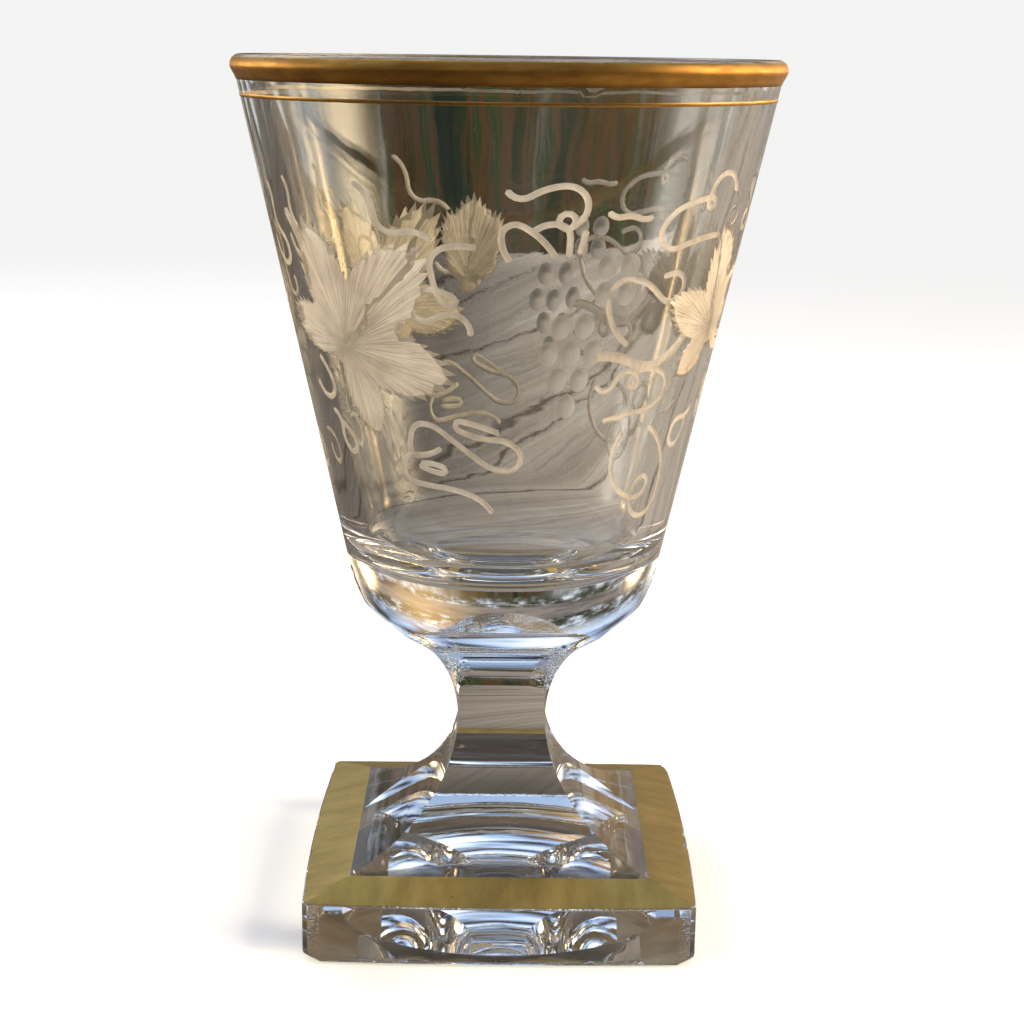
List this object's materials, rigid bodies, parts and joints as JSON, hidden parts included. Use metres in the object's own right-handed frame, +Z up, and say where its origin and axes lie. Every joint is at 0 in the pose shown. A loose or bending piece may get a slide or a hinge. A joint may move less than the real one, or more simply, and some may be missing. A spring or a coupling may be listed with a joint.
{
  "type": "footed drinking glass",
  "caption": "Heavy clear glass goblet with a conical bowl, a square hollow-cut stem, a square foot and fired gold bands, for holding drink.",
  "frame": {"origin": "middle of the foot's resting face on the table", "axes": "+Z up along the axis of the bowl, X and Y square to the sides of the foot, -Y is the front"},
  "size_m": [0.0842, 0.0842, 0.135],
  "materials": {
    "clear_glass": "polished, with a matt wheel-engraved frieze",
    "fired_gold": "burnished gold, lightly rubbed"
  },
  "bodies": {
    "root": {"bowl": "clear_glass", "stem": "clear_glass", "foot": "clear_glass", "rim_gilding": "fired_gold", "rim_gold_line": "fired_gold", "foot_gilding_front": "fired_gold", "foot_gilding_right": "fired_gold", "foot_gilding_back": "fired_gold", "foot_gilding_left": "fired_gold"}
  },
  "joints": []
}
